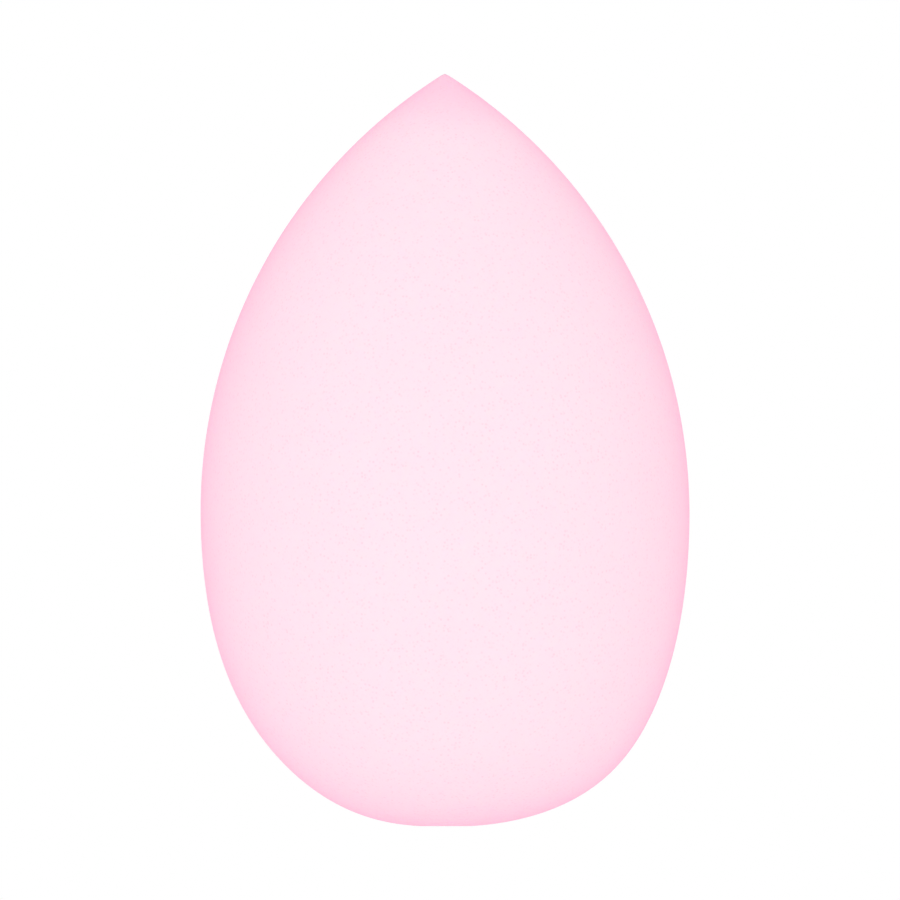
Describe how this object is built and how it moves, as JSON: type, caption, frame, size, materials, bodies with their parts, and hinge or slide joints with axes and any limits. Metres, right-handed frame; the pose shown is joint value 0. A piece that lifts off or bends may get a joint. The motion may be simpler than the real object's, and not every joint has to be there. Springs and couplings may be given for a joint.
{
  "type": "makeup sponge",
  "caption": "Pale pink teardrop makeup sponge of soft moulded foam, pointed at the top and blunt at the base, for dabbing and blending makeup.",
  "frame": {"origin": "centre of the small flat on the base that the sponge stands on", "axes": "+Z along the sponge's axis, from the blunt base to the point; X and Y are free, because the sponge is round"},
  "size_m": [0.039, 0.039, 0.06],
  "materials": {
    "skin_foam": "matte",
    "core_foam": "matte"
  },
  "bodies": {
    "root": {"moulded_skin": "skin_foam", "foam_core": "core_foam"}
  },
  "joints": []
}
